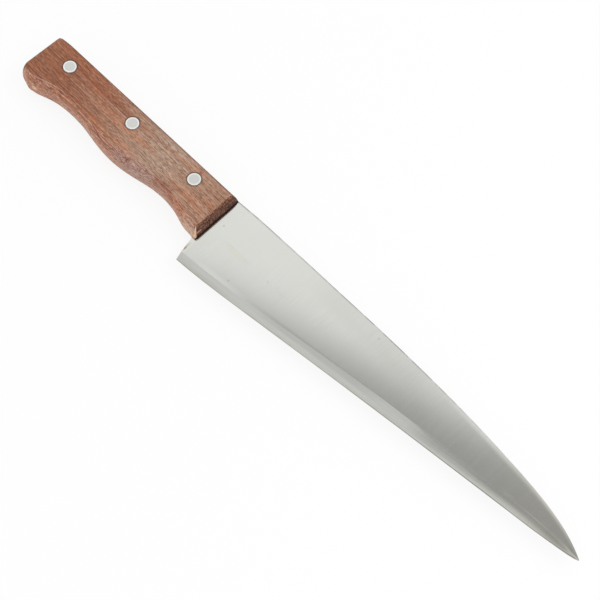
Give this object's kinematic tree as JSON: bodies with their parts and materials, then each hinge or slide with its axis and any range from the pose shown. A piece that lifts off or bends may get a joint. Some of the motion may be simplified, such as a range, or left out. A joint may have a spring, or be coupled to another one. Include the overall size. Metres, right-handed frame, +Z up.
{
  "type": "kitchen slicing knife",
  "caption": "Long slim kitchen knife with a pointed blade, its tang let into a riveted wooden handle with finger hollows and a hooked butt.",
  "frame": {"origin": "middle of the knife's box in plan, at the height of the handle's lower flat, on which it lies", "axes": "+X from the butt to the tip, +Y from the cutting edge to the spine, +Z up, off the blade's face"},
  "size_m": [0.3722, 0.0444, 0.017],
  "materials": {
    "steel": "satin",
    "wood": "satin",
    "rivet_metal": "satin"
  },
  "bodies": {
    "root": {"blade": "steel", "handle": "wood", "rivet_tube_1": "rivet_metal", "rivet_tube_2": "rivet_metal", "rivet_tube_3": "rivet_metal", "rivet_stud_1": "rivet_metal", "rivet_stud_2": "rivet_metal", "rivet_stud_3": "rivet_metal"}
  },
  "joints": []
}
